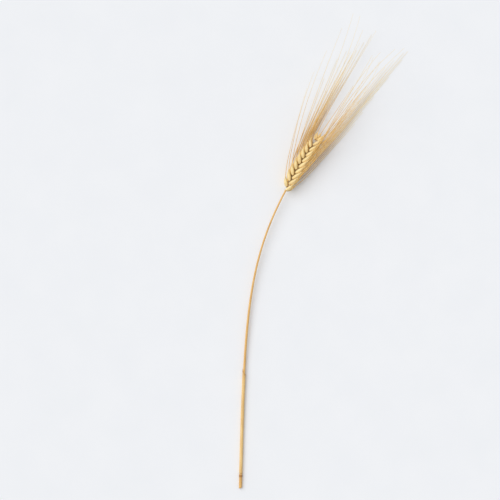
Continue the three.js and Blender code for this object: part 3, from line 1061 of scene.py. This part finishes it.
def glume(floret, side, number):
    return grown(
        skin_mesh("glume", glume_rings(floret.husk_end, floret.size, side), sheet=True),
        PLAIN_PIECE,
        line=floret.line,
        upwards=floret.out,
        number=float(number),
        skin=GLUME_SKIN,
    )


# The ear
# Eighteen spikelets, seventeen in two alternating columns and one at the tip, each on its own rachis step.
# A spikelet is its florets, joined by their inner stalk, between a left and a right glume.
PARTS_PER_SPIKELET = 5

for k in range(SPIKELETS):
    traits = spikelet_traits(k)
    first_number = k * PARTS_PER_SPIKELET
    left = Floret(k, -1, traits, LEFT_AWN_TRAIT)
    right = Floret(k, 1, traits, RIGHT_AWN_TRAIT)
    middle = Floret(k, 0, traits, THIRD_AWN_TRAIT)
    husks = [
        bearded_husk(left, SIDE_BACK, first_number),
        bearded_husk(right, math.pi - SIDE_BACK, first_number + 1),
    ]
    lines = [left.line, right.line, middle.line]
    if k >= FIRST_WITH_THIRD_FLORET:
        smaller = THIRD_FLORET_SIZE, THIRD_AWN_LENGTH, THIRD_FLORET_RISE
        third = Floret(k, 0, traits, THIRD_AWN_TRAIT, *smaller)
        husks.append(bearded_husk(third, MIDDLE_BACK, first_number + 2))
        lines.append(third.line)
    stalklet = skin_mesh("rachilla", rachilla_rings(traits["size"]))
    husks.append(grown(stalklet, PLAIN_PIECE, line=middle.line, upwards=middle.out, skin=HUSK_SKIN))
    name = f"{k + 1:02d}"
    finished_piece(f"bearded_florets_{name}", joined("florets", husks), f"florets_{name}")
    left_glume = glume(left, -1, first_number + 3)
    finished_piece(f"keeled_glume_left_{name}", left_glume, f"left_glume_{name}")
    right_glume = glume(right, 1, first_number + 4)
    finished_piece(f"keeled_glume_right_{name}", right_glume, f"right_glume_{name}")
    for line in lines:
        bpy.data.objects.remove(line)

bpy.data.objects.remove(stalk_line)

# The studio
# A pale matt table under one broad soft light from the upper left, with an even fill from a pale room.
# The camera looks straight down, as far off as makes the picture as wide as the photograph.
TABLE_HALF = 6.0
TABLE_PALE = (246, 247, 249)
TABLE_DEEP = (240, 242, 245)
TABLE_MOTTLE = 0.05
TABLE_DETAIL = 4.0
TABLE_ROUGHNESS = 0.9
TABLE_SHINE = 0.1
KEY_PLACE = (-0.95, 0.55, 1.35)
KEY_WIDTH = math.radians(55)
KEY_STRENGTH = 1.75
FILL_STRENGTH = 0.575
ROOM_STRENGTH = 0.97
PICTURE_MIDDLE = (-88.0 * MM, 4.8 * MM)
PICTURE_WIDTH = 600 * MM
LENS = 85.0
SENSOR = 36.0

mottle = bpy.data.materials.new("table_top")
mottle.use_nodes = True
tree = mottle.node_tree
spot = place(tree, "ShaderNodeTexCoord").outputs["Object"]
clouds = {"Vector": spot, "Scale": 1 / TABLE_MOTTLE, "Detail": TABLE_DETAIL}
noise = place(tree, "ShaderNodeTexNoise", clouds).outputs[0]
shades = {0: noise, 6: linear(TABLE_DEEP), 7: linear(TABLE_PALE)}
shade = place(tree, "ShaderNodeMix", shades, data_type="RGBA")
shader = tree.nodes["Principled BSDF"]
tree.links.new(shade.outputs[2], shader.inputs["Base Color"])
shader.inputs["Roughness"].default_value = TABLE_ROUGHNESS
shader.inputs["Specular IOR Level"].default_value = TABLE_SHINE

table_mesh = bpy.data.meshes.new("table_top")
corners = [(x * TABLE_HALF, y * TABLE_HALF, 0.0) for x, y in ((-1, -1), (1, -1), (1, 1), (-1, 1))]
table_mesh.from_pydata(corners, [], [(0, 1, 2, 3)])
table_mesh.materials.append(mottle)
table = bpy.data.objects.new("table_top", table_mesh)
bpy.context.collection.objects.link(table)

key = bpy.data.objects.new("key_light", bpy.data.lights.new("key_light", "SUN"))
key.data.angle = KEY_WIDTH
key.data.energy = KEY_STRENGTH
key.location = KEY_PLACE
key.rotation_euler = Vector(KEY_PLACE).to_track_quat("Z", "Y").to_euler()
bpy.context.collection.objects.link(key)

world = bpy.data.worlds.new("studio")
world.use_nodes = True
tree = world.node_tree
seen = place(tree, "ShaderNodeLightPath").outputs["Is Camera Ray"]
strength = place(tree, "ShaderNodeMapRange", {0: seen, 3: FILL_STRENGTH, 4: ROOM_STRENGTH}).outputs[0]
tree.nodes["Background"].inputs["Color"].default_value = linear(TABLE_PALE)
tree.links.new(strength, tree.nodes["Background"].inputs["Strength"])
bpy.context.scene.world = world

camera = bpy.data.objects.new("camera", bpy.data.cameras.new("camera"))
camera.data.lens = LENS
camera.data.sensor_width = SENSOR
camera.location = (*PICTURE_MIDDLE, PICTURE_WIDTH * LENS / SENSOR)
bpy.context.collection.objects.link(camera)
bpy.context.scene.camera = camera
bpy.context.scene.view_settings.view_transform = "Standard"
